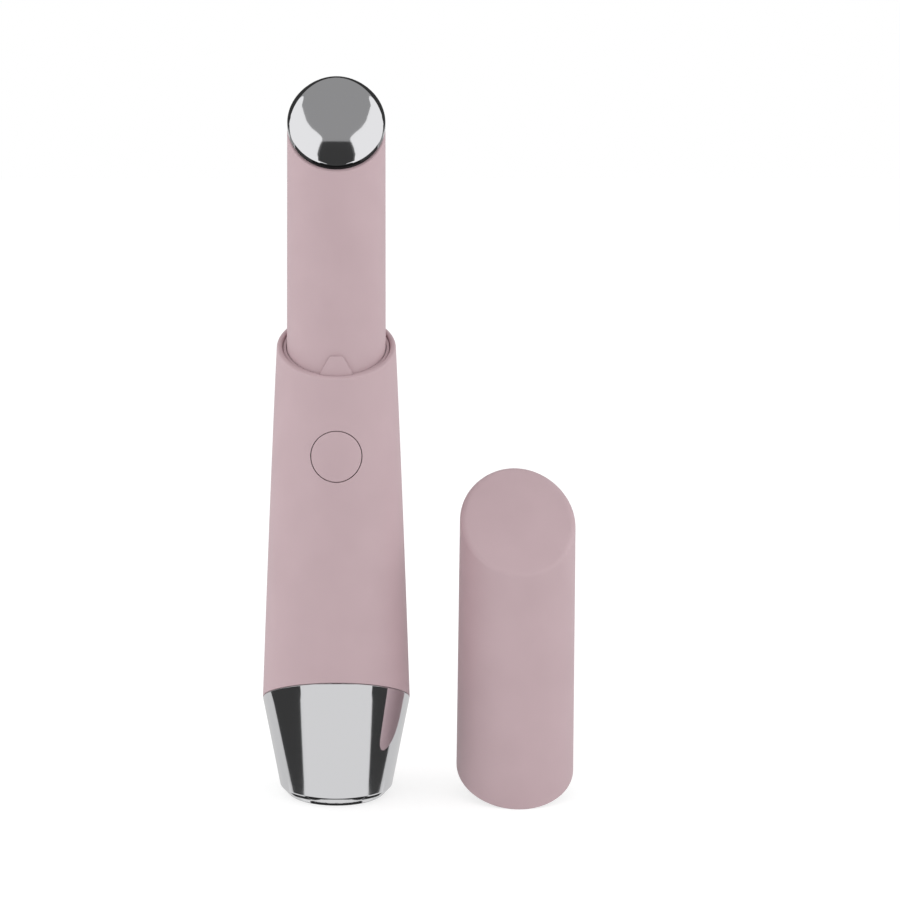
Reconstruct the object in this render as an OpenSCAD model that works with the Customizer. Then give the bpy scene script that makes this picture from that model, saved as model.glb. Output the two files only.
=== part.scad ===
// Heated eye massager wand with its cap taken off and standing beside it.
// Millimetres. +Z runs up the wand, the origin is the centre of its flat foot, and the button faces -Y.

/* [Body] */
// Height of the body's sloping rim on the wand's axis
collar_z = 84.2; // [80:0.2:90]
// Diameter of the body where the rim crosses the axis
collar_d = 21.64; // [21.6:0.02:23]
// Slope of the rim, low at the front
collar_slope = 25; // [15:1:30]
// Height of the seam between body and base on the wand's axis
seam_z = 18.2; // [17:0.1:20]
// Diameter of the body where the seam crosses the axis
seam_d = 27.3; // [26.6:0.1:30]
// Slope of the seam, high at the front
seam_slope = 24.5; // [15:0.5:26]
// How far the side bows out half-way up
side_bow = 0.1; // [0:0.05:0.4]
// Wall of the body
body_wall = 1.2; // [1:0.1:1.4]
// Rounding of the rim's outer edge
collar_round = 0.45; // [0.2:0.05:0.7]
// Width of the body's rim, from its outer edge to the sleeve
rim_w = 1.05; // [0.9:0.05:1.2]
// Rounding of the rim's inner edge
rim_round = 0.4; // [0.2:0.05:0.5]

/* [Base] */
// Diameter of the flat foot
foot_d = 17.6; // [14:0.2:19]
// Diameter of the base above its chamfer
base_low_d = 20.96; // [20:0.1:22]
// Height of the chamfer round the foot
foot_h = 1.82; // [1:0.1:2.2]
// Thickness of the base's floor
base_floor = 3; // [2.4:0.1:4]
// Wall of the base at its floor
base_wall = 1.5; // [1.2:0.1:2]
// How far the base's spigot reaches up inside the body
spigot_h = 3.5; // [2:0.5:4]
// Wall of the spigot
spigot_wall = 1.2; // [1:0.1:1.4]

/* [Head] */
// Height of the head tube's sloping top on the axis
tube_z = 122.7; // [118:0.05:130]
// Slope of the head tube's top
tube_slope = 39.5; // [25:0.5:42]
// Diameter of the head tube where it leaves the collar
tube_low_d = 17.94; // [17.9:0.02:18.1]
// Diameter of the head tube under the plate
tube_high_d = 17.62; // [17.5:0.02:17.7]
// Bore of the head tube
tube_bore = 15.2; // [15:0.1:15.6]
// Rounding of the tube's top edge
tube_round = 0.55; // [0.2:0.05:0.7]
// Thickness of the black seal, measured upright
seal_t = 0.7; // [0.3:0.05:0.8]
// How far the seal stands back from the tube's side
seal_inset = 0.5; // [0.2:0.05:0.6]
// Slope of the metal plate
plate_slope = 45; // [38:0.5:46]
// Thickness of the plate's edge on the axis, measured upright
plate_edge = 2.05; // [1.5:0.05:2.8]
// Height of the plate's dome
plate_dome = 0.3; // [0.2:0.05:1.2]
// Rounding of the plate's edge
plate_round = 1.5; // [0.3:0.1:1.8]
// Depth of the plate's skirt inside the tube
skirt_h = 2.5; // [1.5:0.1:3]

/* [Alignment key] */
// Width of the key where the rim hides it
key_low_w = 5.6; // [5:0.1:8]
// Width of the key at its top, before its corners are rounded
key_high_w = 2.3; // [1.6:0.1:4]
// Height of the key above the front of the rim
key_h = 2.9; // [2:0.1:5]
// Rounding of the key's corners
key_round = 0.7; // [0.3:0.1:0.8]

/* [Button] */
// Diameter of the button
button_d = 9; // [8:0.1:9.6]
// Height of the button's centre
button_z = 65.2; // [60:0.2:66]
// Gap round the button
button_gap = 0.15; // [0.1:0.01:0.3]
// Travel of the button
button_travel = 0.3; // [0.2:0.05:0.35]
// How far the button's hidden flange reaches past its edge
button_lip = 0.75; // [0.5:0.05:1]

/* [Cap] */
// How far the cap stands from the wand's axis
cap_x = 33.34; // [30:0.02:60]
// Diameter of the cap at its mouth
cap_low_d = 21.76; // [21.6:0.02:23]
// Height of the cap on its axis, from the mouth to the top
cap_h = 47.5; // [46:0.1:60]
// Narrowing of the cap from its mouth to its top, in diameter
cap_draft = 0.56; // [0:0.02:0.8]
// Slope of the cap's top
cap_slope = 40; // [30:0.5:42]
// Rounding of the cap's top edge
cap_round = 1.3; // [0.5:0.1:2]
// Rounding of the cap's mouth
mouth_round = 0.15; // [0.1:0.05:0.45]
// Thickness of the cap's roof, measured upright
cap_roof = 2; // [1.6:0.1:3]
// Height of the liner on the cap's axis
liner_h = 34; // [28:0.5:38]

/* [Motor] */
// Diameter of the motor's can
motor_d = 6; // [5:0.1:6.4]
// Length of the motor's can
motor_h = 12; // [10:0.5:13]
// Diameter of the motor's shaft
shaft_d = 1; // [0.8:0.1:1.2]
// Diameter of the eccentric weight
weight_d = 5.4; // [4:0.1:6.4]
// Height of the eccentric weight
weight_h = 3.5; // [2.5:0.1:4]
// Wall of the motor's rubber boot
boot_wall = 0.8; // [0.6:0.05:0.9]

/* [Battery and boards] */
// Diameter of the cell
cell_d = 10; // [9:0.1:10.2]
// Length of the cell
cell_h = 44; // [36:0.5:45]
// How far the cell's axis stands behind the wand's axis
cell_y = 1.2; // [1:0.1:1.3]
// Width of the main board
board_w = 12.6; // [11:0.2:13]
// Thickness of the main board
board_t = 1; // [0.8:0.1:1.2]
// Thickness of the chassis spine
spine_t = 0.8; // [0.7:0.05:1]
// Width of the tact switch
switch_w = 5.2; // [4.5:0.1:6]
// Depth of the tact switch without its plunger
switch_t = 1.5; // [1.2:0.1:1.8]
// Diameter of the switch's plunger
plunger_d = 2.5; // [2:0.1:3]
// Width of the charging socket
port_w = 8.94; // [8.8:0.02:9.2]
// Height of the charging socket
port_h = 3.26; // [3.1:0.02:3.4]
// Length of the charging socket
port_len = 7.35; // [6.5:0.05:8]
// Thickness of the socket's small board
port_board_t = 0.8; // [0.6:0.1:1]

/* [Hidden] */

PINK = "#c1aaaf";
CHROME = "#c9cbce";
BLACK = "#1b1a1b";
STEEL = "#a9acb0";
WHITE = "#e6e4df";

$fn = 72;
SIDES = 72;      // faces round a body with sloping ends
SLIP = 0.1;      // clearance between pieces that are pushed together
RUN = 0.03;      // radial clearance of the turning shaft
TOUCH = 0.05;    // clearance between pieces that only meet
BIG = 200;       // longer than anything here

collar_r = collar_d / 2;
cap_low_r = cap_low_d / 2;
seam_r = seam_d / 2;
base_low_r = base_low_d / 2;
button_r = button_d / 2;

// Rise of each sloping cut for each millimetre towards the back
collar_k = tan(collar_slope);
seam_k = -tan(seam_slope);
tube_k = tan(tube_slope);
plate_k = tan(plate_slope);
cap_k = tan(cap_slope);

// Levels up the wand
deck_t = 1.5;
deck_z = seam_z + 1.3;
port_board_z = deck_z + deck_t;
port_z = port_board_z + port_board_t + port_h / 2;
shelf_t = 1;
shelf_z = port_z + port_h / 2 + 0.7;
tab_t = 0.15;
cell_z = shelf_z + shelf_t + tab_t;
nub_h = 0.7;
cell_top = cell_z + cell_h + nub_h;
board_z = port_board_z + 1.5;
flange_t = 1.2;
flange_z = max(button_z + button_r + button_lip + 0.55, cell_z + cell_h - flange_t);
seat_z = flange_z + flange_t;
board_top = flange_z - 1.3;
lip_h = 1.2;
shoulder_z = seat_z + 2 * lip_h + 2 * TOUCH;
neck_top = tube_z - 32.65;
holder_floor = 1.2;
motor_z = neck_top + holder_floor + boot_wall;
motor_top = motor_z + motor_h;
weight_z = motor_top + 0.8;
shaft_top = weight_z + weight_h + 0.3;
carrier_z = shaft_top + 1.9;
plate_z = tube_z + seal_t;
plate_top = plate_z + plate_edge;
film_t = 0.4;
plate_t = 1.6;
film_z = plate_top + plate_dome - plate_t - film_t;

// Radii and depths
socket_r = collar_r - rim_w;
sleeve_r = socket_r - TOUCH;
tube_low_r = tube_low_d / 2;
tube_r = tube_high_d / 2;
bore_r = tube_bore / 2;
sleeve_in = tube_low_r + 0.13;
lip_r = sleeve_r + 0.22;
plug_r = bore_r - SLIP;
neck_wall = 1.1;
skirt_wall = 0.8;
cell_r = cell_d / 2;
spine_back = cell_y - cell_r - SLIP;
spine_front = spine_back - spine_t;
board_front = spine_front - board_t;
switch_front = board_front - switch_t;
plunger_out = 0.6;
post_tip = switch_front - plunger_out - TOUCH;
boot_r = motor_d / 2 + boot_wall;
holder_in = boot_r + TOUCH;
holder_flat = -4.6;
lead_y = spine_front - board_t / 2;
clip_wall = 0.8;

// Radius of the body's side at height z: a straight taper with a slight bow
function taper(z) = (collar_z - z) / (collar_z - seam_z);
function side_line(z) = collar_r + (seam_r - collar_r) * taper(z);
function side_r(z) = side_line(z) + 4 * side_bow * taper(z) * (1 - taper(z));

// Radius of the head tube at height z
function head_r(z) =
    tube_low_r + (tube_r - tube_low_r) * (z - collar_z) / (tube_z - collar_z);

// Rounded edge between a side of radius r and a sloping end that lies on z = z0 + m * radius.
// Each point is [radius, height]. The first function is for a lower end, the second for an upper one.
function low_edge(r, z0, m, f, steps) =
    let (q = sqrt(1 + m * m), rc = r - f, zc = z0 + m * rc + f * q, from = atan2(-1, m))
    [for (i = [0:steps]) let (t = from * (1 - i / steps)) [rc + f * cos(t), zc + f * sin(t)]];
function high_edge(r, z0, m, f, steps) =
    let (q = sqrt(1 + m * m), rc = r - f, zc = z0 + m * rc - f * q, upto = atan2(1, -m))
    [for (i = [0:steps]) let (t = upto * i / steps) [rc + f * cos(t), zc + f * sin(t)]];

// Points [radius, height] from the last of one edge to the first of the next, on the side r(z)
function side(a, b, r, steps) =
    [for (i = [1:steps - 1]) let (z = a[1] + (b[1] - a[1]) * i / steps) [r(z), z]];

// One column of a round body between two sloping ends, at the angle whose sine is s
function column(s, low_z, low_k, low_f, top_z, top_k, top_f, r, steps) =
    let (lo = low_edge(r(low_z + low_k * s * r(low_z)), low_z, low_k * s, low_f, 3),
         hi = high_edge(r(top_z + top_k * s * r(top_z)), top_z, top_k * s, top_f, 5))
    concat(lo, side(lo[3], hi[0], r, steps), hi);

// Closed skin over rings of points, all with SIDES points, with a middle point at each end
module skin(rings, low_mid, top_mid) {
    n = SIDES;
    rows = len(rings);
    points = concat([for (ring = rings) each ring], [low_mid, top_mid]);
    low = rows * n;
    faces = concat(
        [for (i = [0:n - 1]) [low, i, (i + 1) % n]],
        [for (j = [0:rows - 2], i = [0:n - 1]) let (a = j * n + i, b = j * n + (i + 1) % n)
            each [[a, a + n, b + n], [a, b + n, b]]],
        [for (i = [0:n - 1]) [low + 1, (rows - 1) * n + (i + 1) % n, (rows - 1) * n + i]]);
    polyhedron(points, faces, convexity = 4);
}

// Rings made from the column at each angle: turned[i] holds the points of column i
function rings_of(columns) =
    [for (j = [0:len(columns[0]) - 1])
        [for (i = [0:SIDES - 1]) let (a = 360 * i / SIDES, p = columns[i][j])
            [p[0] * cos(a), p[0] * sin(a), p[1]]]];

// Round body with two sloping, rounded ends. Each point of dip is [radius, depth] below the top's slope.
module sloped_body(low_z, low_k, low_f, top_z, top_k, top_f, r, steps = 2, dip = []) {
    columns = [for (i = [0:SIDES - 1]) let (s = sin(360 * i / SIDES))
        concat(column(s, low_z, low_k, low_f, top_z, top_k, top_f, r, steps),
               [for (p = dip) [p[0], top_z + top_k * s * p[0] - p[1]]])];
    sunk = len(dip) > 0 ? dip[len(dip) - 1][1] : 0;
    skin(rings_of(columns), [0, 0, low_z], [0, 0, top_z - sunk]);
}

// Everything below the sloping plane z = z0 + k * y
module below(z0, k) {
    translate([0, 0, z0]) rotate([atan(k), 0, 0])
        translate([-BIG / 2, -BIG / 2, -BIG]) cube([BIG, BIG, BIG]);
}

// Slab between two sloping planes
module slab(low_z, low_k, top_z, top_k) {
    difference() {
        below(top_z, top_k);
        below(low_z, low_k);
    }
}

// Box given by its lowest corner and its highest corner
module span(a, b) {
    translate(a) cube(b - a);
}

// Tube about the z axis
module ring(outer, inner, low, high) {
    translate([0, 0, low]) difference() {
        cylinder(h = high - low, r = outer);
        translate([0, 0, -1]) cylinder(h = high - low + 2, r = inner);
    }
}

// Round lead along a list of points, with a ball at each bend
module lead(points, d) {
    for (i = [0:len(points) - 2]) {
        a = points[i];
        v = points[i + 1] - a;
        length = norm(v);
        translate(a) rotate([0, acos(v[2] / length), atan2(v[1], v[0])])
            cylinder(h = length, d = d, $fn = 16);
    }
    for (i = [1:1:len(points) - 2]) translate(points[i]) sphere(d = d, $fn = 16);
}

// Outline of the key, above the rim plane's height on the axis, with rounded upper corners
module key_outline(grow) {
    base_z = -collar_k * tube_low_r;
    top = base_z + key_h + grow;
    low = base_z - 3;
    high_w = key_high_w / 2;
    lean = atan((key_low_w / 2 - high_w) / key_h);
    half = high_w + grow;
    low_half = half + (top - low) * tan(lean);
    set_back = key_round * tan((90 - lean) / 2);
    corner = [for (i = [0:4]) let (t = (90 - lean) * i / 4)
        [half - set_back + key_round * sin(t), top - key_round + key_round * cos(t)]];
    polygon(concat([[-low_half, low], [low_half, low]],
        [for (i = [4:-1:0]) corner[i]], [for (p = corner) [-p[0], p[1]]]));
}

// The key's outline pushed through the front wall, at the height of a rim plane
module key_prism(rim_z, grow) {
    translate([0, 0, rim_z]) rotate([90, 0, 0]) linear_extrude(height = collar_r) key_outline(grow);
}

// Stadium-shaped bar along y, for the charging socket
module socket_bar(w, h, length, y0) {
    translate([0, y0, port_z]) rotate([-90, 0, 0]) {
        translate([-(w - h) / 2, -h / 2, 0]) cube([w - h, h, length]);
        for (s = [-1, 1]) translate([s * (w - h) / 2, 0, 0]) cylinder(h = length, d = h, $fn = 32);
    }
}

// Inside of the body below its shoulder
module cavity(inset) {
    low = -5;
    translate([0, 0, low])
        cylinder(h = shoulder_z - low, r1 = side_line(low) - body_wall - inset,
                 r2 = side_line(shoulder_z) - body_wall - inset);
}

module body_shell() {
    // Rounded inner edge of the rim; the last point lies inside the socket, which is cut later
    dip = concat([for (t = [0:30:60]) [socket_r + rim_round * (1 - sin(t)), rim_round * (1 - cos(t))]],
                 [[socket_r - TOUCH, rim_round]]);
    color(PINK) difference() {
        sloped_body(seam_z, seam_k, 0.12, collar_z, collar_k, collar_round,
                    function (z) side_r(z), 7, dip);
        cavity(0);
        translate([0, 0, shoulder_z - 1]) cylinder(h = BIG, r = socket_r);
        translate([0, 0, button_z]) rotate([90, 0, 0]) cylinder(h = BIG, r = button_r + button_gap);
        socket_bar(port_w + 0.4, port_h + 0.4, BIG, 5);
    }
}

// The base's skin: straight lines from the edge above its chamfer to the sloping seam. The chamfer
// runs on below the foot, which is then cut flat.
module base_skin() {
    steps = 3;
    spare = 1;
    foot_cut = foot_d / 2 - spare * (base_low_r - foot_d / 2) / foot_h;
    columns = [for (i = [0:SIDES - 1]) let (
            m = seam_k * sin(360 * i / SIDES),
            top = high_edge(side_r(seam_z + m * seam_r), seam_z, m, 0.12, 2))
        concat([[foot_cut, -spare]],
               [for (t = [0:steps - 1]) let (u = t / steps)
                [base_low_r + (top[0][0] - base_low_r) * u, foot_h + (top[0][1] - foot_h) * u]], top)];
    difference() {
        skin(rings_of(columns), [0, 0, -spare], [0, 0, seam_z]);
        translate([0, 0, -BIG]) cylinder(h = BIG, r = seam_r);
    }
}

// Radius inside the base at height z
function base_in(z) = base_low_r - base_wall + 0.1 * (z - base_floor);

module base_shell() {
    color(CHROME) {
        difference() {
            base_skin();
            translate([0, 0, base_floor])
                cylinder(h = BIG / 4, r1 = base_in(base_floor), r2 = base_in(base_floor + BIG / 4));
        }
        spigot();
        for (a = [90, 210, 330]) rotate([0, 0, a]) translate([7.2, 0, base_floor - 0.5])
            cylinder(h = deck_z - base_floor + 0.5, r = 1.4, $fn = 32);
    }
}

// Ring that plugs into the body, cut to the seam's slope
module spigot() {
    intersection() {
        difference() {
            cavity(SLIP);
            cavity(SLIP + spigot_wall);
        }
        slab(seam_z - 2, seam_k, seam_z + spigot_h, seam_k);
    }
}

module collar_sleeve() {
    low = seat_z + lip_h + TOUCH;
    color(PINK) {
        intersection() {
            ring(sleeve_r, sleeve_in, low, collar_z + collar_r);
            below(collar_z - rim_round - TOUCH, collar_k);
        }
        ring(lip_r, sleeve_in, low, low + lip_h);
        intersection() {
            ring(sleeve_r - TOUCH, sleeve_in, collar_z - collar_r, collar_z + collar_r);
            key_prism(collar_z, 0);
        }
    }
}

module head_tube() {
    color(PINK) difference() {
        union() {
            sloped_body(seat_z, 0, 0.1, tube_z, tube_k, tube_round, function (z) head_r(z), 3);
            translate([0, 0, seat_z]) cylinder(h = lip_h, r = sleeve_in + 0.3);
        }
        translate([0, 0, seat_z - 1]) cylinder(h = BIG, r = bore_r);
    }
}

module tip_seal() {
    color(BLACK) intersection() {
        ring(tube_r - seal_inset, plug_r - skirt_wall - 0.2, tube_z - tube_r, tube_z + tube_r);
        slab(tube_z, tube_k, plate_z, tube_k);
        difference() {
            cylinder(h = BIG, r = BIG);
            intersection() {
                cylinder(h = BIG, r = plug_r + TOUCH);
                below(plate_z + 1, tube_k);
            }
        }
    }
}

// The plate's outer form: sloping underside, rounded edge and slightly domed face
module plate_form() {
    rows = 4;
    lean = 2 * plate_dome / tube_r;
    columns = [for (i = [0:SIDES - 1]) let (
            s = sin(360 * i / SIDES),
            low_m = tube_k * s,
            top_m = plate_k * s,
            room = plate_top - plate_z + (top_m - low_m) * tube_r,
            f = min(plate_round, 0.75 * room),
            lo = low_edge(tube_r, plate_z, low_m, 0.08, 1),
            hi = high_edge(tube_r, plate_top + lean * tube_r, top_m - lean, f, 6),
            rt = hi[6][0],
            drop = plate_top + top_m * rt - hi[6][1])
        concat(lo, hi, [for (t = [1:rows - 1]) let (u = 1 - t / rows)
            [rt * u, plate_top + plate_dome + top_m * rt * u - (plate_dome + drop) * u * u]])];
    skin(rings_of(columns), [0, 0, plate_z], [0, 0, plate_top + plate_dome]);
}

module tip_plate() {
    color(CHROME) {
        difference() {
            plate_form();
            intersection() {
                cylinder(h = BIG, r = plug_r - skirt_wall);
                below(film_z + film_t, plate_k);
            }
        }
        intersection() {
            ring(plug_r, plug_r - skirt_wall, tube_z - BIG / 10, tube_z + BIG / 10);
            slab(plate_z - skirt_h, tube_k, plate_z + 0.1, tube_k);
        }
    }
}

module heater_film() {
    color("#c77f2a") intersection() {
        cylinder(h = BIG, r = plug_r - skirt_wall - 0.2);
        slab(film_z, plate_k, film_z + film_t, plate_k);
    }
}

// The bead and the leads to it and to the film meet the film's underside at these places
bead_x = 3.2;
bead_y = -3.5;
bead_r = 0.6;
bead_len = 3 * bead_r;
bead_drop = bead_r * sqrt(1 + plate_k * plate_k) + TOUCH;

module thermistor() {
    color("#2f2a26") translate([bead_x - bead_len / 2, bead_y, film_z + plate_k * bead_y - bead_drop])
        rotate([0, 90, 0]) cylinder(h = bead_len, r = bead_r, $fn = 24);
}

module plate_carrier() {
    disc_t = 1.5;
    hollow_r = 3;
    color(WHITE) difference() {
        union() {
            translate([0, 0, carrier_z]) cylinder(h = disc_t, r = plug_r);
            intersection() {
                translate([0, 0, carrier_z]) cylinder(h = BIG, r = plug_r - skirt_wall - SLIP);
                below(film_z - TOUCH, plate_k);
            }
        }
        span([-BIG, -BIG, 0], [BIG, bead_y + bead_r + 0.2, BIG]);
        translate([0, 2, carrier_z - 1]) cylinder(h = hollow_r * 3 - 1, r = hollow_r);
    }
}

module motor_holder() {
    top = motor_top - 0.5;
    color(WHITE) difference() {
        translate([0, 0, neck_top]) cylinder(h = top - neck_top, r = plug_r);
        translate([0, 0, neck_top + holder_floor]) cylinder(h = BIG, r = holder_in);
        translate([0, 0, neck_top - 1]) cylinder(h = BIG, r = 2.2);
        span([-BIG, -BIG, 0], [BIG, holder_flat, BIG]);
        for (a = [30, 150]) rotate([0, 0, a])
            translate([holder_in + 2.2, 0, neck_top + holder_floor]) cylinder(h = BIG, r = 1.3, $fn = 32);
    }
}

module motor_boot() {
    low = neck_top + holder_floor;
    color("#3a3a3c") difference() {
        translate([0, 0, low]) cylinder(h = motor_top - 1 - low, r = boot_r);
        translate([0, 0, motor_z]) cylinder(h = BIG, d = motor_d);
        translate([0, 0, low - 1]) cylinder(h = BIG, r = 2);
    }
}

// The shaft runs in the can over this length
shaft_in = 8;
shaft_low = motor_top - shaft_in;

module motor_can() {
    color(STEEL) difference() {
        union() {
            translate([0, 0, motor_z]) cylinder(h = motor_h, d = motor_d);
            translate([0, 0, motor_top]) cylinder(h = 0.4, d = shaft_d + 1.4);
        }
        translate([0, 0, shaft_low - 0.1]) cylinder(h = BIG, d = shaft_d + 2 * RUN);
    }
}

module motor_shaft() {
    color("#8d9095") translate([0, 0, shaft_low]) cylinder(h = shaft_top - shaft_low, d = shaft_d);
}

module eccentric_weight() {
    color("#8b867c") difference() {
        union() {
            translate([0, 0, weight_z]) cylinder(h = weight_h, r = shaft_d / 2 + 0.6);
            intersection() {
                translate([0, 0, weight_z]) cylinder(h = weight_h, d = weight_d);
                span([-weight_d, 0, 0], [weight_d, weight_d, BIG]);
            }
        }
        translate([0, 0, weight_z - 1]) cylinder(h = weight_h + 2, r = shaft_d / 2 + 0.01);
    }
}

// Half width of the gap in the chassis that the leads rise through
lead_gap = 5.3;

module chassis() {
    spigot_in = side_line(deck_z + deck_t) - body_wall - SLIP - spigot_wall;
    color(WHITE) difference() {
        union() {
            translate([0, 0, deck_z]) cylinder(h = deck_t, r = min(base_in(deck_z), spigot_in) - 0.25);
            span([-board_w / 2, spine_front, deck_z], [board_w / 2, spine_back, seat_z]);
            span([-cell_r + 0.2, spine_front, shelf_z], [cell_r - 0.2, cell_y + cell_r, shelf_z + shelf_t]);
            for (z = [cell_z + 0.25 * cell_h, cell_z + 0.75 * cell_h]) battery_clip(z);
            translate([0, 0, flange_z]) cylinder(h = flange_t, r = sleeve_r - TOUCH);
            ring(plug_r, plug_r - neck_wall, flange_z, neck_top);
        }
        translate([0, cell_y, cell_z - tab_t]) cylinder(h = BIG, r = cell_r + SLIP);
        span([-lead_gap, -BIG, flange_z - 1], [lead_gap, spine_front - TOUCH, BIG]);
        span([-lead_gap, -BIG, seat_z], [lead_gap, 0, BIG]);
        span([-2.3, spine_front - 1, cell_z - tab_t - 0.01], [2.3, cell_y, cell_z + 0.6]);
        span([-4.2, spine_front - 1, port_board_z - 0.01],
             [4.2, spine_back + 1, port_board_z + port_board_t + 1.2]);
        for (p = screw_places) translate([p[0], spine_front - 1, p[1]]) rotate([-90, 0, 0])
            cylinder(h = 6, d = screw_d, $fn = 24);
    }
}

// Springy arms that hold the cell against the spine
module battery_clip(z) {
    clip_h = 3;
    translate([0, cell_y, 0]) difference() {
        ring(cell_r + SLIP + clip_wall, cell_r + SLIP, z - clip_h / 2, z + clip_h / 2);
        span([-cell_r * 0.7, 0, 0], [cell_r * 0.7, BIG, BIG]);
        span([-BIG, -BIG, 0], [BIG, spine_front - cell_y + TOUCH, BIG]);
    }
}

screw_d = 1.6;
screw_places = [[-board_w / 2 + 1.6, cell_z + 2.5], [board_w / 2 - 1.6, board_top - 2.5]];

module circuit_board() {
    color("#2f6b45") difference() {
        span([-board_w / 2, board_front, board_z], [board_w / 2, spine_front, board_top]);
        for (p = screw_places) translate([p[0], board_front - 1, p[1]]) rotate([-90, 0, 0])
            cylinder(h = board_t + 2, d = screw_d + 0.2, $fn = 24);
    }
}

module board_screws() {
    color(STEEL) for (p = screw_places) translate([p[0], board_front, p[1]]) rotate([-90, 0, 0]) {
        translate([0, 0, -0.8]) difference() {
            cylinder(h = 0.8, d = screw_d + 1, $fn = 32);
            for (a = [0, 90]) rotate([0, 0, a]) translate([-0.8, -0.15, -1]) cube([1.6, 0.3, 1.4]);
        }
        cylinder(h = board_t + spine_t, d = screw_d - 0.04, $fn = 24);
    }
}

module board_parts() {
    // Each is [x, height above the board's foot, width, length, thickness]: controller, charger,
    // coil, two capacitors and two drivers
    packages = [[0, 17, 4, 4, 0.9], [2.5, 9, 3, 3, 1], [-2.8, 10.5, 4, 4, 1.8], [4.3, 16, 1.2, 2, 1.1],
                [-4.3, 17, 1.2, 2, 1.1], [-1.8, 25, 2.9, 1.6, 1.1], [2.2, 25, 2.9, 1.6, 1.1]];
    color("#26282b") for (p = packages)
        span([p[0] - p[2] / 2, board_front - p[4], board_z + p[1] - p[3] / 2],
             [p[0] + p[2] / 2, board_front, board_z + p[1] + p[3] / 2]);
}

module switch_body() {
    h = switch_w / 2;
    color("#c8c6c0") difference() {
        span([-h, switch_front, button_z - h], [h, board_front, button_z + h]);
        translate([0, switch_front - 1, button_z]) rotate([-90, 0, 0])
            cylinder(h = 1 + switch_t - 0.3, d = plunger_d + 2 * TOUCH, $fn = 32);
    }
}

module switch_plunger() {
    back = switch_front + switch_t - 0.3 - button_travel - TOUCH;
    color(BLACK) translate([0, switch_front - plunger_out, button_z]) rotate([-90, 0, 0])
        cylinder(h = back - switch_front + plunger_out, d = plunger_d, $fn = 32);
}

// The button's face is part of the body's own side, and its flange stays behind the wall
module power_button() {
    lip_t = 0.8;
    wall_in = side_line(button_z + button_r + button_lip) - body_wall - 0.3;
    color(PINK) {
        intersection() {
            translate([0, 0, button_z]) rotate([90, 0, 0]) cylinder(h = BIG, r = button_r);
            difference() {
                button_face();
                translate([0, 0, -BIG / 2]) cylinder(h = BIG, r = wall_in - lip_t / 2);
            }
        }
        intersection() {
            translate([0, 0, button_z]) rotate([90, 0, 0]) cylinder(h = BIG, r = button_r + button_lip);
            ring(wall_in, wall_in - lip_t, button_z - 2 * button_r, button_z + 2 * button_r);
        }
        translate([0, post_tip, button_z]) rotate([90, 0, 0])
            cylinder(h = wall_in - lip_t / 2 + post_tip, d = plunger_d, $fn = 32);
    }
}

// Cone that follows the body's side where the button is
module button_face() {
    low = button_z - button_r;
    translate([0, 0, low]) cylinder(h = 2 * button_r, r1 = side_r(low), r2 = side_r(low + 2 * button_r));
}

module battery() {
    color("#3f6fa8") translate([0, cell_y, cell_z]) {
        cylinder(h = cell_h, r = cell_r - 0.01);
        translate([0, 0, cell_h - 0.1]) cylinder(h = nub_h + 0.1, r = 1.7, $fn = 32);
    }
}

module battery_tabs() {
    color("#b8babd") {
        span([-2, spine_front + TOUCH, cell_z - tab_t], [2, cell_y + 3, cell_z]);
        span([-2, cell_y - 2.5, cell_top], [2, cell_y + 2.5, cell_top + tab_t]);
    }
}

// Places of the leads across the board's top edge
lead_d = 0.7;
battery_lead_x = 1.9;
motor_lead_x = 0.9;
film_lead_x = [-3.8, -2.9];
bead_lead_x = [bead_x - 0.5, bead_x + 0.5];

module battery_lead() {
    x = battery_lead_x;
    z = max(cell_top + tab_t, seat_z) + lead_d / 2 + TOUCH;
    color("#b3262a") lead([[1.2, cell_y, cell_top + tab_t], [1.2, cell_y, z], [x, lead_y, z],
                           [x, lead_y, board_top]], lead_d);
}

module motor_leads() {
    bend = neck_top - 1.2;
    for (s = [-1, 1]) color(s < 0 ? "#b3262a" : "#222325")
        lead([[s * motor_lead_x, lead_y, board_top], [s * motor_lead_x, lead_y, bend],
              [s * motor_lead_x, -0.8, bend], [s * motor_lead_x, -0.8, motor_z]], lead_d);
}

// Level at which the leads of film and bead bend in under the plate's skirt
bend_z = carrier_z + 1.2;

module heater_leads() {
    for (x = film_lead_x) color("#d8d4cc")
        lead([[x, lead_y, board_top], [x, lead_y, bend_z], [x, bead_y, bend_z],
              [x, bead_y, film_z + plate_k * (bead_y - lead_d / 2) - TOUCH]], lead_d);
}

module thermistor_leads() {
    for (x = bead_lead_x) color("#d0b23c")
        lead([[x, lead_y, board_top], [x, lead_y, bend_z], [x, bead_y, bend_z],
              [x, bead_y, film_z + plate_k * bead_y - bead_drop - bead_r]], 0.5);
}

port_mouth = side_r(port_z) - 0.5;

module port_board() {
    color("#2f6b45") span([-5.4, -1, port_board_z], [5.4, port_mouth - 2.6, port_board_z + port_board_t]);
}

module usb_shell() {
    wall = 0.3;
    color(STEEL) difference() {
        socket_bar(port_w, port_h, port_len, port_mouth - port_len);
        socket_bar(port_w - 2 * wall, port_h - 2 * wall, port_len, port_mouth - port_len + 1);
    }
}

module usb_tongue() {
    color(BLACK) span([-3.35, port_mouth - port_len + 1, port_z - 0.35],
                      [3.35, port_mouth - 0.9, port_z + 0.35]);
}

module port_pins() {
    color("#c9a04a") for (x = [-3, -1, 1, 3])
        span([x - 0.3, spine_front, port_board_z + port_board_t],
             [x + 0.3, 1, port_board_z + port_board_t + 0.5]);
}

// Height of the cap's mouth on its axis that puts its front lip on the floor
cap_mouth_z = collar_k * (cap_low_r - mouth_round)
    - mouth_round * (sqrt(1 + collar_k * collar_k) - 1);
cap_top_z = cap_mouth_z + cap_h;

function cap_r(z) = cap_low_r - cap_draft / 2 * (z - cap_mouth_z) / cap_h;

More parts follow.
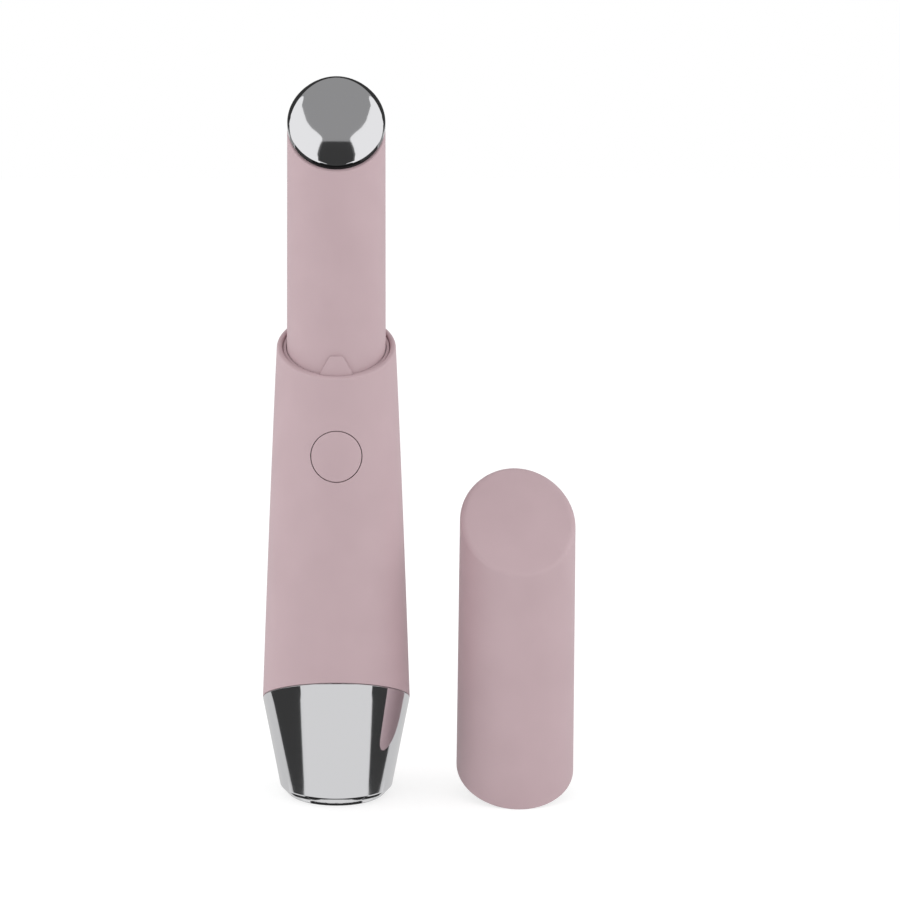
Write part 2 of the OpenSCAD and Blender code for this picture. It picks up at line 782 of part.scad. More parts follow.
module cap_shell() {
    color(PINK) translate([cap_x, 0, 0]) difference() {
        sloped_body(cap_mouth_z, collar_k, mouth_round, cap_top_z, cap_k, cap_round,
                    function (z) cap_r(z), 3);
        intersection() {
            translate([0, 0, -1]) cylinder(h = BIG, r = socket_r);
            below(cap_top_z - cap_roof, cap_k);
        }
    }
}

module cap_liner() {
    color(WHITE) translate([cap_x, 0, 0]) difference() {
        intersection() {
            ring(sleeve_r, sleeve_in, 0, BIG);
            slab(cap_mouth_z + 0.3, collar_k, cap_mouth_z + liner_h, collar_k);
        }
        key_prism(cap_mouth_z, 0.15);
    }
}

body_shell();
base_shell();
collar_sleeve();
head_tube();
tip_seal();
tip_plate();
heater_film();
thermistor();
plate_carrier();
motor_holder();
motor_boot();
motor_can();
motor_shaft();
eccentric_weight();
chassis();
circuit_board();
board_parts();
board_screws();
switch_body();
switch_plunger();
power_button();
battery();
battery_tabs();
battery_lead();
port_board();
usb_shell();
usb_tongue();
port_pins();
motor_leads();
heater_leads();
thermistor_leads();
cap_shell();
cap_liner();
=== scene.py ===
from math import atan2, cos, pi, radians, sin, sqrt, tan

import bmesh
import bpy
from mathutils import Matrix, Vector


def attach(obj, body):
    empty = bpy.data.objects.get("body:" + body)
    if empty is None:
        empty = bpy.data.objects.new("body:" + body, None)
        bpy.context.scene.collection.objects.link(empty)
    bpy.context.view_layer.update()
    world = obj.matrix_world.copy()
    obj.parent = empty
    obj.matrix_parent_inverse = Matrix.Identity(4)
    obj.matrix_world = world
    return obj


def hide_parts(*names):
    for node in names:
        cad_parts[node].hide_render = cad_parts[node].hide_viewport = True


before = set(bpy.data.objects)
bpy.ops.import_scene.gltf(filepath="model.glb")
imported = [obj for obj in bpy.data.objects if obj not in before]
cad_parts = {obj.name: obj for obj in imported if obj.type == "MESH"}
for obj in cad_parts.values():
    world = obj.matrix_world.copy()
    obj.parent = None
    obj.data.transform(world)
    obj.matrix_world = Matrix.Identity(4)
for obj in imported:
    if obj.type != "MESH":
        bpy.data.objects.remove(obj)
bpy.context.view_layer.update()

# Camera: a long lens a little above the wand, square to the side with the button. The picture is
# shifted sideways to take in the cap.
camera_data = bpy.data.cameras.new("camera")
camera_data.sensor_width = 36
camera_data.lens = 90
camera_data.shift_x = 0.1263
camera_data.shift_y = 0.0006
camera = bpy.data.objects.new("camera", camera_data)
camera.location = (0, -0.40723, 0.12546)
camera.rotation_euler = (radians(81.5), 0, 0)
bpy.context.scene.collection.objects.link(camera)
bpy.context.scene.camera = camera

# Body shell: a slim tapered tube of moulded ABS under a soft-touch coat. It stands on the chrome
# base along a sloping seam, and its sloping rim, rounded inside and out, takes the collar sleeve.
MM = 0.001
collar_z, collar_r, collar_slope = 84.2, 10.82, tan(radians(25))
seam_z, seam_r, seam_slope = 18.2, 13.65, -tan(radians(24.5))
side_bow, body_wall = 0.1, 1.2
socket_r, shoulder_z = 9.77, 74.7
rim_round, rim_inner_round = 0.45, 0.38
seam_round, seam_inner_round, seam_gap = 0.12, 0.1, 0.08
button_z, button_hole_r = 65.2, 4.65
port_z, port_hole_w, port_hole_h = 23.43, 9.34, 3.66


def body_r(z):
    """Radius of the body's side at height z, in mm: a straight taper with a slight bow."""
    down = (collar_z - z) / (collar_z - seam_z)
    return collar_r + (seam_r - collar_r) * down + 4 * side_bow * down * (1 - down)


def spun(profile, steps=192, closed=False, axis=(0, 0, 1)):
    """A skin turned about an axis from points of radius and height in mm."""
    bm = bmesh.new()
    up = Vector(axis) * MM
    line = [bm.verts.new(Vector((r * MM, 0, 0)) + h * up) for r, h in profile]
    edges = [bm.edges.new(ends) for ends in zip(line, line[1:])]
    if closed:
        edges.append(bm.edges.new((line[-1], line[0])))
    bmesh.ops.spin(bm, geom=line + edges, cent=(0, 0, 0), axis=axis, angle=2 * pi, steps=steps,
                   use_merge=True)
    bmesh.ops.remove_doubles(bm, verts=bm.verts, dist=1e-7)
    bmesh.ops.recalc_face_normals(bm, faces=bm.faces)
    return bm


def end_points(outer, inner, level, slope, outer_round, inner_round, up=1, steps=6):
    """Points over a cut end, from the outer side round to the inner one, as radius and height. The
    cut lies at z = level + slope * radius, and up is -1 for a lower end."""
    m, base = slope * up, level * up
    q, flat = sqrt(1 + m * m), atan2(1, -m)
    points = []
    for mid_r, f, start, stop in ((outer - outer_round, outer_round, 0, flat),
                                  (inner + inner_round, inner_round, flat, pi)):
        mid_z = base + m * mid_r - f * q
        for i in range(steps + 1):
            t = start + (stop - start) * i / steps
            points.append((mid_r + f * cos(t), up * (mid_z + f * sin(t))))
    return points


def turned(column, steps=192, closed=True):
    """A skin turned about the axis, whose line of points is shaped by the sine of its angle."""
    bm = spun([(10 if r else 0, i) for i, (r, z) in enumerate(column(0))], steps, closed)
    shaped = {}
    for v in bm.verts:
        angle = atan2(v.co.y, v.co.x)
        side = round(sin(angle), 6)
        if side not in shaped:
            shaped[side] = column(side)
        r, z = shaped[side][round(v.co.z / MM)]
        v.co = Vector((r * cos(angle), r * sin(angle), z)) * MM
    bmesh.ops.recalc_face_normals(bm, faces=bm.faces)
    return bm


def between(radius, low, high, steps):
    """Points up a side between two heights, whose radius is given by a function."""
    heights = [low + (high - low) * i / steps for i in range(1, steps)]
    return [(radius(z), z) for z in heights]


def smooth(piece, sharp=35):
    """Shades a piece smooth and keeps the edges that bend by more than an angle in degrees."""
    piece.data.shade_smooth()
    piece.data.set_sharp_from_angle(angle=radians(sharp))
    piece.modifiers.new("even shading", "WEIGHTED_NORMAL").keep_sharp = True


def made(name, bm, material, body, nodes, sharp=35):
    """Turns a finished skin into a smooth piece that rides on a body and stands for its nodes."""
    mesh = bpy.data.meshes.new(name)
    bm.to_mesh(mesh)
    bm.free()
    mesh.materials.append(material)
    piece = bpy.data.objects.new(name, mesh)
    bpy.context.scene.collection.objects.link(piece)
    smooth(piece, sharp)
    if body:
        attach(piece, body)
        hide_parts(*nodes)
    return piece


def drilled(piece, cutter, operation="DIFFERENCE"):
    """Cuts a piece by another one, which is then thrown away."""
    piece.modifiers.clear()
    cut = piece.modifiers.new("cut", "BOOLEAN")
    cut.object = cutter
    cut.operation = operation
    cut.solver = "EXACT"
    ready = piece.evaluated_get(bpy.context.evaluated_depsgraph_get())
    piece.data = bpy.data.meshes.new_from_object(ready)
    piece.modifiers.clear()
    smooth(piece)
    bpy.data.objects.remove(cutter)


def linear(code):
    """An sRGB hex colour as linear red, green, blue and alpha."""
    parts = [int(code[i:i + 2], 16) / 255 for i in (1, 3, 5)]
    return [p / 12.92 if p <= 0.04045 else ((p + 0.055) / 1.055) ** 2.4 for p in parts] + [1]


def add_node(tree, kind, values=(), links=(), **properties):
    """Adds a node, sets its properties and values, and links its inputs to other nodes' outputs."""
    node = tree.nodes.new(kind)
    for name, value in properties.items():
        setattr(node, name, value)
    for socket, value in dict(values).items():
        node.inputs[socket].default_value = value
    for socket, source in dict(links).items():
        tree.links.new(source, node.inputs[socket])
    return node


def new_material(name):
    """An empty material with its tree and its Object coordinates."""
    material = bpy.data.materials.new(name)
    material.use_nodes = True
    tree = material.node_tree
    tree.nodes.clear()
    return material, tree, add_node(tree, "ShaderNodeTexCoord").outputs["Object"]


# Soft-touch polyurethane over ABS: a matte, dusty pink coat. Its spray leaves a very fine grain,
# about 0.15 mm here, and slight clouds in colour and in sheen a few millimetres across.
soft_touch, tree, place = new_material("soft-touch coated ABS")
clouds = add_node(tree, "ShaderNodeTexNoise", {"Scale": 1 / (9 * MM), "Detail": 2.0},
                  {"Vector": place})
tint = add_node(tree, "ShaderNodeValToRGB", {}, {"Fac": clouds.outputs["Fac"]})
tint.color_ramp.elements[0].position = 0.3
tint.color_ramp.elements[0].color = linear("#bfa6ab")
tint.color_ramp.elements[1].position = 0.7
tint.color_ramp.elements[1].color = linear("#c3aaaf")
grain = add_node(tree, "ShaderNodeTexNoise", {"Scale": 1 / (0.15 * MM), "Detail": 3.0},
                 {"Vector": place})
sheen = add_node(tree, "ShaderNodeMapRange", {"To Min": 0.5, "To Max": 0.58},
                 {"Value": clouds.outputs["Fac"]})
relief = add_node(tree, "ShaderNodeBump", {"Strength": 0.25, "Distance": 0.01 * MM},
                  {"Height": grain.outputs["Fac"]})
shader = add_node(tree, "ShaderNodeBsdfPrincipled",
                  {"IOR": 1.5, "Sheen Weight": 0.08, "Sheen Roughness": 0.5},
                  {"Base Color": tint.outputs["Color"], "Roughness": sheen.outputs["Result"],
                   "Normal": relief.outputs["Normal"]})
add_node(tree, "ShaderNodeOutputMaterial", {}, {"Surface": shader.outputs["BSDF"]})


def body_column(side):
    """The body's wall at one angle: round the seam, up the side, over the rim and down inside."""
    low_r = body_r(seam_z + seam_slope * side * seam_r)
    high_r = body_r(collar_z + collar_slope * side * collar_r)
    seam = end_points(low_r, low_r - body_wall, seam_z + seam_gap, seam_slope * side,
                      seam_round, seam_inner_round, up=-1)[::-1]
    rim = end_points(high_r, socket_r, collar_z, collar_slope * side, rim_round, rim_inner_round)
    shoulder = [(socket_r, shoulder_z), (body_r(shoulder_z) - body_wall, shoulder_z)]
    return seam + between(body_r, seam[-1][1], rim[0][1], 12) + rim + shoulder


bm = turned(body_column)
body = made("body_moulding", bm, soft_touch, "wand", ["body_shell"])

cut_depth, cut_middle = 20, 15
bm = bmesh.new()
bmesh.ops.create_cone(bm, cap_ends=True, segments=128, radius1=button_hole_r * MM,
                      radius2=button_hole_r * MM, depth=cut_depth * MM)
forward = Vector((0, -1, 0)).to_track_quat("Z", "Y").to_matrix()
bmesh.ops.rotate(bm, verts=bm.verts, matrix=forward)
bmesh.ops.translate(bm, verts=bm.verts, vec=(0, -cut_middle * MM, button_z * MM))
drilled(body, made("button_hole", bm, soft_touch, None, ()))
bm = bmesh.new()
bmesh.ops.create_cube(bm, size=1)
bmesh.ops.scale(bm, verts=bm.verts, vec=(port_hole_w * MM, cut_depth * MM, port_hole_h * MM))
upright = [e for e in bm.edges if abs(e.verts[0].co.y - e.verts[1].co.y) > MM]
bmesh.ops.bevel(bm, geom=upright, offset=(port_hole_h / 2 - 0.01) * MM, offset_type="OFFSET",
                segments=16, profile=0.5, affect="EDGES", material=-1, clamp_overlap=True)
bmesh.ops.translate(bm, verts=bm.verts, vec=(0, cut_middle * MM, port_z * MM))
drilled(body, made("port_hole", bm, soft_touch, None, ()))

# Base: a die-cast zinc cup under bright chrome plate. It closes the body along the sloping seam and
# narrows to a chamfered foot; its edges are broken by small radii, as a polished casting's are.
foot_r, chamfer_r, chamfer_z, bend_round, foot_round = 8.8, 10.48, 1.82, 0.5, 0.9
base_steps = 256

# Bright chrome over buffed copper and nickel: a clear mirror, a little darker than silver. Buffing
# leaves clouds of haze about 6 mm across, which soften the mirrored edges here and there.
chrome, tree, place = new_material("bright chrome plate")
haze = add_node(tree, "ShaderNodeTexNoise", {"Scale": 1 / (6 * MM), "Detail": 3.0},
                {"Vector": place})
polish = add_node(tree, "ShaderNodeMapRange", {"To Min": 0.045, "To Max": 0.06},
                  {"Value": haze.outputs["Fac"]})
shader = add_node(tree, "ShaderNodeBsdfPrincipled",
                  {"Base Color": linear("#e6e6e8"), "Metallic": 1.0},
                  {"Roughness": polish.outputs["Result"]})
add_node(tree, "ShaderNodeOutputMaterial", {}, {"Surface": shader.outputs["BSDF"]})


def soft_corner(before, corner, after, round_r, steps=5):
    """Points of an arc that rounds a corner between two straight lines."""
    one = (Vector(before) - Vector(corner)).normalized()
    two = (Vector(after) - Vector(corner)).normalized()
    half = one.angle(two) / 2
    middle = Vector(corner) + (one + two).normalized() * (round_r / sin(half))
    start = Vector(corner) + one * (round_r / tan(half)) - middle
    sweep = start.angle_signed(Vector(corner) + two * (round_r / tan(half)) - middle)
    points = []
    for i in range(steps + 1):
        t = sweep * i / steps
        turn = Vector((start.x * cos(t) + start.y * sin(t), start.y * cos(t) - start.x * sin(t)))
        points.append(tuple(middle + turn))
    return points


def base_column(side):
    """The base's skin at one angle, from under the foot to the middle of its sloping top."""
    top_r = body_r(seam_z + seam_slope * side * seam_r)
    top_z = seam_z + seam_slope * side * top_r
    under, foot, bend = (0, 0), (foot_r, 0), (chamfer_r, chamfer_z)
    top, middle = (top_r, top_z), (0, seam_z)
    line = [under] + soft_corner(under, foot, bend, foot_round)
    line += soft_corner(foot, bend, top, bend_round)
    low_r, low_z = line[-1]
    lip = soft_corner(line[-1], top, middle, seam_round, 3)
    rise_r, rise_z = lip[0][0] - low_r, lip[0][1] - low_z
    rise = [(low_r + rise_r * i / 8, low_z + rise_z * i / 8) for i in range(1, 8)]
    return line + rise + lip + [middle]


bm = turned(base_column, base_steps, closed=False)
made("base_cup", bm, chrome, "wand", ["base_shell"], sharp=60)

# Collar sleeve: a thin ring of the same coated ABS pressed into the rim. The tongue that stands up
# from it at the front is a key with rounded corners, which turns the cap the right way round.
sleeve_r, sleeve_in, sleeve_low = 9.66, 9.1, 73.45
sleeve_top, sleeve_round, sleeve_inner_round = 83.75, 0.1, 0.08
key_low_w, key_high_w, key_h, key_round = 5.6, 2.3, 2.9, 0.7
tube_low_r = 8.97


def sleeve_column(side):
    """The sleeve's wall at one angle, over its sloping top and down to its foot."""
    top = end_points(sleeve_r, sleeve_in, sleeve_top, collar_slope * side, sleeve_round,
                     sleeve_inner_round)
    return top + [(sleeve_in, sleeve_low), (sleeve_r, sleeve_low)]


bm = turned(sleeve_column)
made("collar_ring", bm, soft_touch, "wand", ["collar_sleeve"])

key_foot = collar_z - collar_slope * tube_low_r
lean = atan2(key_low_w / 2 - key_high_w / 2, key_h)
set_back = key_round * tan((pi / 2 - lean) / 2)
key_root, key_cut_front, key_cut_depth = 2.5, 14, 12
turns = [(pi / 2 - lean) * i / 6 for i in range(7)]
corner = [(key_high_w / 2 - set_back + key_round * sin(t),
           key_foot + key_h - key_round + key_round * cos(t)) for t in turns]
low_half = key_high_w / 2 + (key_h + key_root) * tan(lean)
outline = [(-low_half, key_foot - key_root), (low_half, key_foot - key_root)]
outline += corner[::-1] + [(-x, z) for x, z in corner]
bm = bmesh.new()
face = bm.faces.new([bm.verts.new((x * MM, -key_cut_front * MM, z * MM)) for x, z in outline])
pushed = bmesh.ops.extrude_face_region(bm, geom=[face])["geom"]
far_side = [g for g in pushed if isinstance(g, bmesh.types.BMVert)]
bmesh.ops.translate(bm, verts=far_side, vec=(0, key_cut_depth * MM, 0))
bmesh.ops.recalc_face_normals(bm, faces=bm.faces)
cutter = made("key_outline", bm, soft_touch, None, ())
key_r, key_ring_low, key_ring_high = sleeve_r - 0.05, 74, 96
bm = spun([(key_r, key_ring_low), (key_r, key_ring_high), (sleeve_in, key_ring_high),
           (sleeve_in, key_ring_low)], closed=True)
key = made("alignment_key", bm, soft_touch, "wand", ["collar_sleeve"])
drilled(key, cutter, "INTERSECT")
soft_edge = key.modifiers.new("broken edge", "BEVEL")
soft_edge.width = 0.1 * MM
soft_edge.segments = 3
soft_edge.limit_method = "ANGLE"
soft_edge.angle_limit = radians(50)

# Head tube: a slim tube of the coated ABS, cut off at a slope for the metal plate. The cut's edge
# is well rounded, so a soft shade runs below the black seal.
tube_z, tube_slope, tube_high_r, bore_r = 122.7, tan(radians(39.5)), 8.81, 7.6
seat_z, tube_round, tube_inner_round = 72.2, 0.55, 0.05


def head_r(z):
    """Radius of the head tube's side at height z, in mm."""
    return tube_low_r + (tube_high_r - tube_low_r) * (z - collar_z) / (tube_z - collar_z)


def head_column(side):
    """The head tube's wall at one angle: up the side, over the cut and down the bore."""
    high_r = head_r(tube_z + tube_slope * side * tube_high_r)
    top = end_points(high_r, bore_r, tube_z, tube_slope * side, tube_round,
                     tube_inner_round)
    rise = between(head_r, seat_z, top[0][1], 6)
    return [(head_r(seat_z), seat_z)] + rise + top + [(bore_r, seat_z)]


bm = turned(head_column)
made("head_moulding", bm, soft_touch, "wand", ["head_tube"])

# Tip plate: a wedge of polished stainless steel that carries warmth to the skin. It is turned with
# a slight dome and a rolled edge that is fullest at the back, and it dies out at the front.
plate_foot, plate_top, plate_slope = 123.4, 125.45, tan(radians(45))
plate_dome, plate_round, round_share = 0.3, 1.5, 0.75
plate_steps = 256

# Stainless steel under a mirror polish: the sharpest mirror on the wand, with a trace of haze in
# clouds about 4 mm across.
steel_mirror, tree, place = new_material("mirror-polished stainless steel")
haze = add_node(tree, "ShaderNodeTexNoise", {"Scale": 1 / (4 * MM), "Detail": 3.0},
                {"Vector": place})
polish = add_node(tree, "ShaderNodeMapRange", {"To Min": 0.015, "To Max": 0.03},
                  {"Value": haze.outputs["Fac"]})
shader = add_node(tree, "ShaderNodeBsdfPrincipled",
                  {"Base Color": linear("#e2e2e4"), "Metallic": 1.0},
                  {"Roughness": polish.outputs["Result"]})
add_node(tree, "ShaderNodeOutputMaterial", {}, {"Surface": shader.outputs["BSDF"]})

edge_steps, dome_steps = 12, 10
under = [(0, 0), (tube_high_r * 0.9, 0), (tube_high_r, 0.1)]
edge = [(tube_high_r, 1 + i) for i in range(edge_steps + 1)]
dome = [(tube_high_r * (1 - i / dome_steps), 2 + edge_steps + i) for i in range(1, dome_steps + 1)]
bm = spun(under + edge + dome, plate_steps)
dome_lean = 2 * plate_dome / tube_high_r
for v in bm.verts:
    angle = atan2(v.co.y, v.co.x)
    level = round(v.co.z / MM, 3)
    s = sin(angle)
    low_m, top_m = tube_slope * s, plate_slope * s
    edge_h = plate_top - plate_foot + (top_m - low_m) * tube_high_r
    fillet = min(plate_round, round_share * edge_h)
    m = top_m - dome_lean
    q = sqrt(1 + m * m)
    mid_r = tube_high_r - fillet
    mid_z = plate_top + dome_lean * tube_high_r + m * mid_r - fillet * q
    turn = atan2(1, -m)
    last_r = mid_r + fillet * cos(turn)
    last_z = mid_z + fillet * sin(turn)
    if level < 1:
        r = v.co.xy.length / MM
        z = plate_foot + low_m * r + level
    elif level <= 1 + edge_steps:
        t = turn * (level - 1) / edge_steps
        r, z = mid_r + fillet * cos(t), mid_z + fillet * sin(t)
    else:
        u = 1 - (level - 2 - edge_steps) / dome_steps
        drop = plate_top + top_m * last_r - last_z
        r = last_r * u
        z = plate_top + plate_dome + top_m * r - (plate_dome + drop) * u * u
    v.co = Vector((r * cos(angle), r * sin(angle), z)) * MM
bmesh.ops.recalc_face_normals(bm, faces=bm.faces)
made("warm_plate", bm, steel_mirror, "wand", ["tip_plate"], sharp=60)

# Seal and motor boot: matte black. The boot is moulded silicone rubber and keeps the motor's hum
# off the tube. The seal is a band 0.7 mm high, set back between the plate and the tube, which draws
# the dark band under the plate's edge. A faint bloom, as silicone has, keeps the black from looking
# flat.
silicone, tree, place = new_material("moulded silicone rubber")
bloom = add_node(tree, "ShaderNodeTexNoise", {"Scale": 1 / (2 * MM), "Detail": 2.0},
                 {"Vector": place})
tone = add_node(tree, "ShaderNodeMix", {6: linear("#171315"), 7: linear("#221c1f")},
                {0: bloom.outputs["Fac"]}, data_type="RGBA")
shader = add_node(tree, "ShaderNodeBsdfPrincipled", {"Roughness": 0.6, "IOR": 1.41},
                  {"Base Color": tone.outputs[2]})
add_node(tree, "ShaderNodeOutputMaterial", {}, {"Surface": shader.outputs["BSDF"]})


def finish_nodes(material, *names):
    """Gives a material to pieces that keep their CAD form."""
    for name in names:
        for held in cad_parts[name].material_slots:
            held.material = material


finish_nodes(silicone, "tip_seal", "motor_boot")

# Power button: a round cap of the coated ABS, flush with the body and curved as its side is. It
# moves in the body's hole with a hair's gap all round.
button_r, button_depth, button_round = 4.5, 1.7, 0.1
face_line = [(button_r * i / 8, 0) for i in range(8)]
face_line += [(button_r - button_round * (1 - sin(t)), button_round * (1 - cos(t)))
              for t in [pi / 2 * i / 3 for i in range(4)]]
bm = spun(face_line + [(button_r, button_depth), (0, button_depth)], 128, axis=(0, 1, 0))
for v in bm.verts:
    depth = v.co.y
    v.co.z += button_z * MM
    r = body_r(v.co.z / MM) * MM
    v.co.y = depth - sqrt(r * r - v.co.x * v.co.x)
bmesh.ops.recalc_face_normals(bm, faces=bm.faces)
made("button_cap", bm, soft_touch, "button", ["power_button"])

# Cap: moulded and coated as the body is, closed by a sloping top with a soft edge. It stands on
# the floor on its open mouth, whose slope matches the rim that it closes on.
cap_x, cap_mouth_r, cap_h, cap_draft = 33.34, 10.88, 47.5, 0.56
cap_slope, cap_round, cap_roof = tan(radians(40)), 1.3, 2
mouth_round, mouth_inner_round = 0.15, 0.1
mouth_drop = mouth_round * (sqrt(1 + collar_slope ** 2) - 1)
mouth_z = collar_slope * (cap_mouth_r - mouth_round) - mouth_drop
cap_top_z = mouth_z + cap_h


def cap_r(z):
    """Radius of the cap's side at height z, in mm."""
    return cap_mouth_r - cap_draft / 2 * (z - mouth_z) / cap_h


def cap_column(side):
    """The cap's skin at one angle: over the top, down the side, round the mouth and up inside."""
    high_r = cap_r(cap_top_z + cap_slope * side * cap_mouth_r)
    low_r = cap_r(mouth_z + collar_slope * side * cap_mouth_r)
    lid = end_points(high_r, 0, cap_top_z, cap_slope * side, cap_round, 0, steps=10)[:11][::-1]
    mouth = end_points(low_r, socket_r, mouth_z, collar_slope * side, mouth_round,
                       mouth_inner_round, up=-1)
    edge_r, edge_z = lid[0]
    flat = [(edge_r * u, cap_top_z + (edge_z - cap_top_z) * u) for u in (0, 0.5, 0.9)]
    roof_z, roof_lean = cap_top_z - cap_roof, cap_slope * side * socket_r
    roof = [(socket_r * u, roof_z + roof_lean * u) for u in (1, 0.5, 0)]
    return flat + lid + between(cap_r, lid[-1][1], mouth[0][1], 8) + mouth + roof


bm = turned(cap_column, closed=False)
bmesh.ops.translate(bm, verts=bm.verts, vec=(cap_x * MM, 0, 0))
made("cap_moulding", bm, soft_touch, "cap", ["cap_shell"])

# Inner mouldings: the chassis, the motor's cup, the block behind the plate and the cap's liner.
# They are plain white ABS from a fine spark-eroded mould, of about 0.3 mm grain.
white_abs, tree, place = new_material("moulded white ABS")
grain = add_node(tree, "ShaderNodeTexNoise", {"Scale": 1 / (0.3 * MM), "Detail": 2.0},
                 {"Vector": place})
clouds = add_node(tree, "ShaderNodeTexNoise", {"Scale": 1 / (8 * MM)}, {"Vector": place})
tone = add_node(tree, "ShaderNodeMix", {6: linear("#e2dfd8"), 7: linear("#ebe9e3")},
                {0: clouds.outputs["Fac"]}, data_type="RGBA")
relief = add_node(tree, "ShaderNodeBump", {"Strength": 0.3, "Distance": 0.01 * MM},
                  {"Height": grain.outputs["Fac"]})
shader = add_node(tree, "ShaderNodeBsdfPrincipled", {"Roughness": 0.42, "IOR": 1.53},
                  {"Base Color": tone.outputs[2], "Normal": relief.outputs["Normal"]})
add_node(tree, "ShaderNodeOutputMaterial", {}, {"Surface": shader.outputs["BSDF"]})
finish_nodes(white_abs, "chassis", "motor_holder", "plate_carrier", "cap_liner")

# Heating film: amber polyimide with etched copper tracks about 0.4 mm wide, stuck under the plate.
# The bead of the thermistor is dark epoxy, dipped and cured, with a soft gloss.
film, tree, place = new_material("polyimide film")
tracks = add_node(tree, "ShaderNodeTexWave", {"Scale": 1 / (2.5 * MM), "Distortion": 0.6},
                  {"Vector": place}, bands_direction="X")
edge = add_node(tree, "ShaderNodeMapRange", {"From Min": 0.45, "From Max": 0.55},
                {"Value": tracks.outputs["Fac"]})
tone = add_node(tree, "ShaderNodeMix", {6: linear("#c4782c"), 7: linear("#9a5322")},
                {0: edge.outputs["Result"]}, data_type="RGBA")
shader = add_node(tree, "ShaderNodeBsdfPrincipled", {"Roughness": 0.28, "IOR": 1.7},
                  {"Base Color": tone.outputs[2]})
add_node(tree, "ShaderNodeOutputMaterial", {}, {"Surface": shader.outputs["BSDF"]})
finish_nodes(film, "heater_film")

epoxy, tree, place = new_material("dipped epoxy")
run = add_node(tree, "ShaderNodeTexNoise", {"Scale": 1 / (1.5 * MM)}, {"Vector": place})
tone = add_node(tree, "ShaderNodeMix", {6: linear("#241f1c"), 7: linear("#332c27")},
                {0: run.outputs["Fac"]}, data_type="RGBA")
shader = add_node(tree, "ShaderNodeBsdfPrincipled", {"Roughness": 0.22, "IOR": 1.55},
                  {"Base Color": tone.outputs[2]})
add_node(tree, "ShaderNodeOutputMaterial", {}, {"Surface": shader.outputs["BSDF"]})
finish_nodes(epoxy, "thermistor")

# Motor, screws, socket shell, switch case and battery strips: drawn or stamped steel under nickel.
# Drawing leaves fine lines along the wand, about 0.1 mm apart, that spread the shine.
nickel, tree, place = new_material("nickel-plated steel")
along = add_node(tree, "ShaderNodeMapping", {"Scale": (1, 1, 0.04)}, {"Vector": place})
lines = add_node(tree, "ShaderNodeTexNoise", {"Scale": 1 / (0.1 * MM), "Detail": 2.0},
                 {"Vector": along.outputs["Vector"]})
sheen = add_node(tree, "ShaderNodeMapRange", {"To Min": 0.22, "To Max": 0.38},
                 {"Value": lines.outputs["Fac"]})
shader = add_node(tree, "ShaderNodeBsdfPrincipled",
                  {"Base Color": linear("#cfcdc8"), "Metallic": 1.0},
                  {"Roughness": sheen.outputs["Result"]})
add_node(tree, "ShaderNodeOutputMaterial", {}, {"Surface": shader.outputs["BSDF"]})
finish_nodes(nickel, "motor_can", "motor_shaft", "board_screws", "usb_shell", "switch_body",
             "battery_tabs")

# The half-round weight on the motor's shaft is sintered tungsten alloy: dull, grey and slightly
# grainy, because it is pressed from powder.
tungsten, tree, place = new_material("sintered tungsten alloy")
powder = add_node(tree, "ShaderNodeTexNoise", {"Scale": 1 / (0.2 * MM), "Detail": 4.0},
                  {"Vector": place})
sheen = add_node(tree, "ShaderNodeMapRange", {"To Min": 0.4, "To Max": 0.6},
                 {"Value": powder.outputs["Fac"]})
shader = add_node(tree, "ShaderNodeBsdfPrincipled",
                  {"Base Color": linear("#a5a09a"), "Metallic": 1.0},
                  {"Roughness": sheen.outputs["Result"]})
add_node(tree, "ShaderNodeOutputMaterial", {}, {"Surface": shader.outputs["BSDF"]})
finish_nodes(tungsten, "eccentric_weight")

# Main board and socket board: glass fibre under green solder mask. Copper tracks show through the
# mask as slightly lighter blocks about 1.2 mm across.
mask, tree, place = new_material("solder mask on glass fibre")
tracks = add_node(tree, "ShaderNodeTexVoronoi", {"Scale": 1 / (1.2 * MM), "Randomness": 0.3},
                  {"Vector": place}, distance="CHEBYCHEV")
edge = add_node(tree, "ShaderNodeMapRange", {"From Min": 0.28, "From Max": 0.34},
                {"Value": tracks.outputs["Distance"]})
tone = add_node(tree, "ShaderNodeMix", {6: linear("#3c7d54"), 7: linear("#2a5f3e")},
                {0: edge.outputs["Result"]}, data_type="RGBA")
shader = add_node(tree, "ShaderNodeBsdfPrincipled", {"Roughness": 0.3, "IOR": 1.55},
                  {"Base Color": tone.outputs[2]})
add_node(tree, "ShaderNodeOutputMaterial", {}, {"Surface": shader.outputs["BSDF"]})
finish_nodes(mask, "circuit_board", "port_board")

# Chips, the socket's tongue and the switch's plunger: black moulded nylon and epoxy, with the fine
# sand-like skin of the mould.
black_mould, tree, place = new_material("black moulded nylon")
sand = add_node(tree, "ShaderNodeTexNoise", {"Scale": 1 / (0.2 * MM), "Detail": 3.0},
                {"Vector": place})
tone = add_node(tree, "ShaderNodeMix", {6: linear("#1c1c1e"), 7: linear("#2b2b2e")},
                {0: sand.outputs["Fac"]}, data_type="RGBA")
shader = add_node(tree, "ShaderNodeBsdfPrincipled", {"Roughness": 0.5, "IOR": 1.53},
                  {"Base Color": tone.outputs[2]})
add_node(tree, "ShaderNodeOutputMaterial", {}, {"Surface": shader.outputs["BSDF"]})
finish_nodes(black_mould, "board_parts", "usb_tongue", "switch_plunger")

